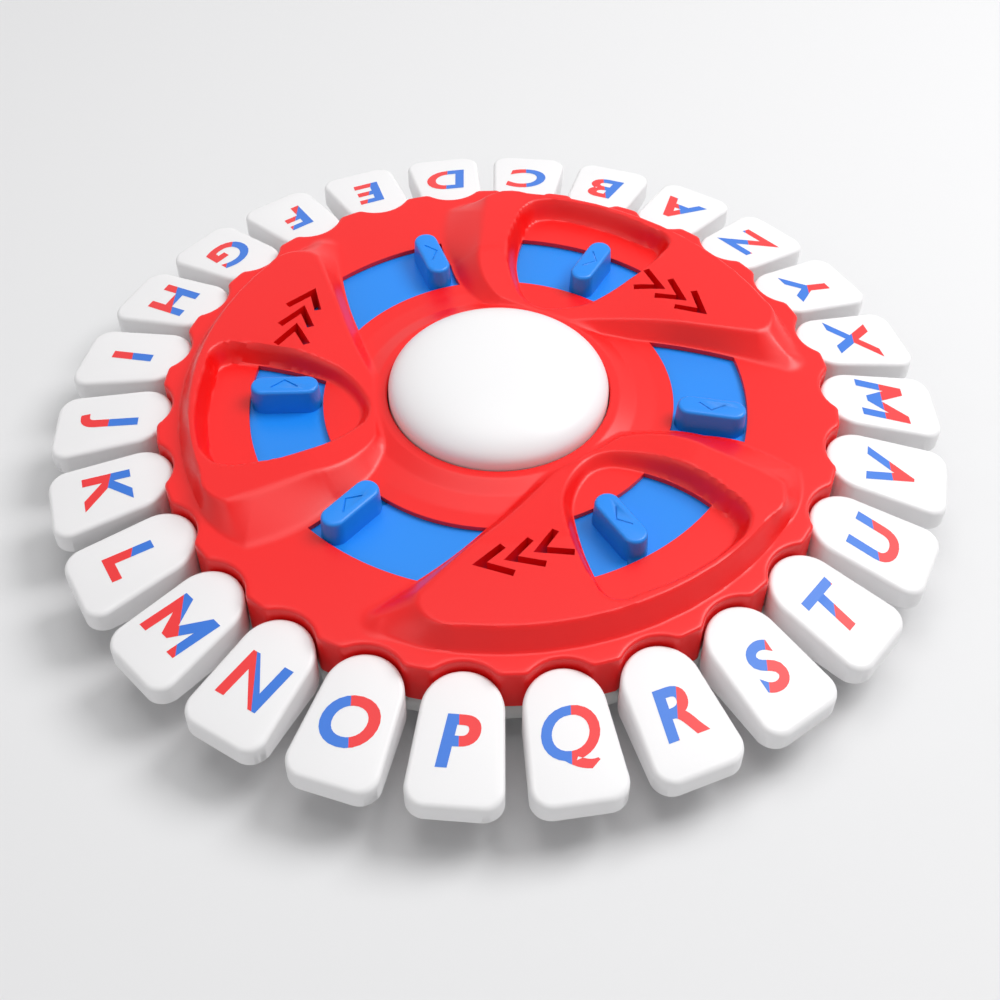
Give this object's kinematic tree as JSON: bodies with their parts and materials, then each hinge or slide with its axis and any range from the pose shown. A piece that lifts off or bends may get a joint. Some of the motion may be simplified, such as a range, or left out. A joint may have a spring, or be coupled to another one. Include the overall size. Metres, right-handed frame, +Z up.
{
  "type": "rotating word game board",
  "caption": "Round table-top word game with hinged letter keys round its rim, a turning reset ring with handles under a moulded cover, and a domed push button.",
  "frame": {"origin": "on the board's axis at the plane of its feet, the bottom centre of its bounding box", "axes": "+Z up along the board's axis, -Y towards the player"},
  "size_m": [0.251, 0.2508, 0.0408],
  "materials": {
    "keys": "moulded, satin gloss, ivory white",
    "cover": "moulded, satin gloss, bright red",
    "ring": "moulded, satin gloss, bright blue",
    "button": "moulded, glossy, white",
    "base": "moulded, pale grey",
    "carrier": "moulded, grey",
    "board": "green solder mask",
    "black_parts": "moulded, black",
    "cell": "plain sleeve",
    "steel": "zinc plated",
    "feet": "black rubber"
  },
  "bodies": {
    "housing": {"base_shell": "base", "top_cover": "cover", "key_carrier": "carrier", "circuit_board": "board", "button_switch": "black_parts", "button_spring": "steel", "buzzer": "black_parts", "battery_1": "cell", "battery_2": "cell", "battery_contacts": "steel", "battery_door": "base", "door_screw": "steel", "case_screws": "steel", "rubber_feet": "feet"},
    "ring": {"reset_ring": "ring"},
    "button": {"centre_button": "button"},
    "key_a": {"key_a": "keys"},
    "key_b": {"key_b": "keys"},
    "key_c": {"key_c": "keys"},
    "key_d": {"key_d": "keys"},
    "key_e": {"key_e": "keys"},
    "key_f": {"key_f": "keys"},
    "key_g": {"key_g": "keys"},
    "key_h": {"key_h": "keys"},
    "key_i": {"key_i": "keys"},
    "key_j": {"key_j": "keys"},
    "key_k": {"key_k": "keys"},
    "key_l": {"key_l": "keys"},
    "key_m": {"key_m": "keys"},
    "key_n": {"key_n": "keys"},
    "key_o": {"key_o": "keys"},
    "key_p": {"key_p": "keys"},
    "key_q": {"key_q": "keys"},
    "key_r": {"key_r": "keys"},
    "key_s": {"key_s": "keys"},
    "key_t": {"key_t": "keys"},
    "key_u": {"key_u": "keys"},
    "key_v": {"key_v": "keys"},
    "key_w": {"key_w": "keys"},
    "key_x": {"key_x": "keys"},
    "key_y": {"key_y": "keys"},
    "key_z": {"key_z": "keys"}
  },
  "joints": [
    {"name": "ring_turn", "type": "hinge", "parent": "housing", "child": "ring", "pos_m": [0, 0, 0.0252], "axis": [0, 0, 1], "range_deg": [0, 13.85]},
    {"name": "button_press", "type": "slide", "parent": "housing", "child": "button", "axis": [0, 0, -1], "range_m": [0, 0.003], "stiffness_N_per_m": 400, "springref_m": -0.003, "deforming": ["button_spring"]},
    {"name": "key_a_tip", "type": "hinge", "parent": "housing", "child": "key_a", "pos_m": [0.04491, 0.07099, 0.015], "axis": [-0.8451, 0.5346, 0], "range_deg": [0, 8]},
    {"name": "key_b_tip", "type": "hinge", "parent": "housing", "child": "key_b", "pos_m": [0.02662, 0.07967, 0.015], "axis": [-0.9485, 0.3169, 0], "range_deg": [0, 8]},
    {"name": "key_c_tip", "type": "hinge", "parent": "housing", "child": "key_c", "pos_m": [0.00678, 0.08373, 0.015], "axis": [-0.9967, 0.0807, 0], "range_deg": [0, 8]},
    {"name": "key_d_tip", "type": "hinge", "parent": "housing", "child": "key_d", "pos_m": [-0.01346, 0.08292, 0.015], "axis": [-0.9871, -0.1602, 0], "range_deg": [0, 8]},
    {"name": "key_e_tip", "type": "hinge", "parent": "housing", "child": "key_e", "pos_m": [-0.03291, 0.07729, 0.015], "axis": [-0.9201, -0.3918, 0], "range_deg": [0, 8]},
    {"name": "key_f_tip", "type": "hinge", "parent": "housing", "child": "key_f", "pos_m": [-0.05045, 0.06716, 0.015], "axis": [-0.7996, -0.6006, 0], "range_deg": [0, 8]},
    {"name": "key_g_tip", "type": "hinge", "parent": "housing", "child": "key_g", "pos_m": [-0.06506, 0.05314, 0.015], "axis": [-0.6326, -0.7745, 0], "range_deg": [0, 8]},
    {"name": "key_h_tip", "type": "hinge", "parent": "housing", "child": "key_h", "pos_m": [-0.07588, 0.03603, 0.015], "axis": [-0.4289, -0.9034, 0], "range_deg": [0, 8]},
    {"name": "key_i_tip", "type": "hinge", "parent": "housing", "child": "key_i", "pos_m": [-0.0823, 0.01682, 0.015], "axis": [-0.2002, -0.9797, 0], "range_deg": [0, 8]},
    {"name": "key_j_tip", "type": "hinge", "parent": "housing", "child": "key_j", "pos_m": [-0.08393, -0.00336, 0.015], "axis": [0.0401, -0.9992, 0], "range_deg": [0, 8]},
    {"name": "key_k_tip", "type": "hinge", "parent": "housing", "child": "key_k", "pos_m": [-0.08069, -0.02335, 0.015], "axis": [0.278, -0.9606, 0], "range_deg": [0, 8]},
    {"name": "key_l_tip", "type": "hinge", "parent": "housing", "child": "key_l", "pos_m": [-0.07276, -0.04198, 0.015], "axis": [0.4998, -0.8661, 0], "range_deg": [0, 8]},
    {"name": "key_m_tip", "type": "hinge", "parent": "housing", "child": "key_m", "pos_m": [-0.06059, -0.05818, 0.015], "axis": [0.6926, -0.7214, 0], "range_deg": [0, 8]},
    {"name": "key_n_tip", "type": "hinge", "parent": "housing", "child": "key_n", "pos_m": [-0.04491, -0.07099, 0.015], "axis": [0.8451, -0.5346, 0], "range_deg": [0, 8]},
    {"name": "key_o_tip", "type": "hinge", "parent": "housing", "child": "key_o", "pos_m": [-0.02662, -0.07967, 0.015], "axis": [0.9485, -0.3169, 0], "range_deg": [0, 8]},
    {"name": "key_p_tip", "type": "hinge", "parent": "housing", "child": "key_p", "pos_m": [-0.00678, -0.08373, 0.015], "axis": [0.9967, -0.0807, 0], "range_deg": [0, 8]},
    {"name": "key_q_tip", "type": "hinge", "parent": "housing", "child": "key_q", "pos_m": [0.01346, -0.08292, 0.015], "axis": [0.9871, 0.1602, 0], "range_deg": [0, 8]},
    {"name": "key_r_tip", "type": "hinge", "parent": "housing", "child": "key_r", "pos_m": [0.03291, -0.07729, 0.015], "axis": [0.9201, 0.3918, 0], "range_deg": [0, 8]},
    {"name": "key_s_tip", "type": "hinge", "parent": "housing", "child": "key_s", "pos_m": [0.05045, -0.06716, 0.015], "axis": [0.7996, 0.6006, 0], "range_deg": [0, 8]},
    {"name": "key_t_tip", "type": "hinge", "parent": "housing", "child": "key_t", "pos_m": [0.06506, -0.05314, 0.015], "axis": [0.6326, 0.7745, 0], "range_deg": [0, 8]},
    {"name": "key_u_tip", "type": "hinge", "parent": "housing", "child": "key_u", "pos_m": [0.07588, -0.03603, 0.015], "axis": [0.4289, 0.9034, 0], "range_deg": [0, 8]},
    {"name": "key_v_tip", "type": "hinge", "parent": "housing", "child": "key_v", "pos_m": [0.0823, -0.01682, 0.015], "axis": [0.2002, 0.9797, 0], "range_deg": [0, 8]},
    {"name": "key_w_tip", "type": "hinge", "parent": "housing", "child": "key_w", "pos_m": [0.08393, 0.00336, 0.015], "axis": [-0.0401, 0.9992, 0], "range_deg": [0, 8]},
    {"name": "key_x_tip", "type": "hinge", "parent": "housing", "child": "key_x", "pos_m": [0.08069, 0.02335, 0.015], "axis": [-0.278, 0.9606, 0], "range_deg": [0, 8]},
    {"name": "key_y_tip", "type": "hinge", "parent": "housing", "child": "key_y", "pos_m": [0.07276, 0.04198, 0.015], "axis": [-0.4998, 0.8661, 0], "range_deg": [0, 8]},
    {"name": "key_z_tip", "type": "hinge", "parent": "housing", "child": "key_z", "pos_m": [0.06059, 0.05818, 0.015], "axis": [-0.6926, 0.7214, 0], "range_deg": [0, 8]}
  ]
}
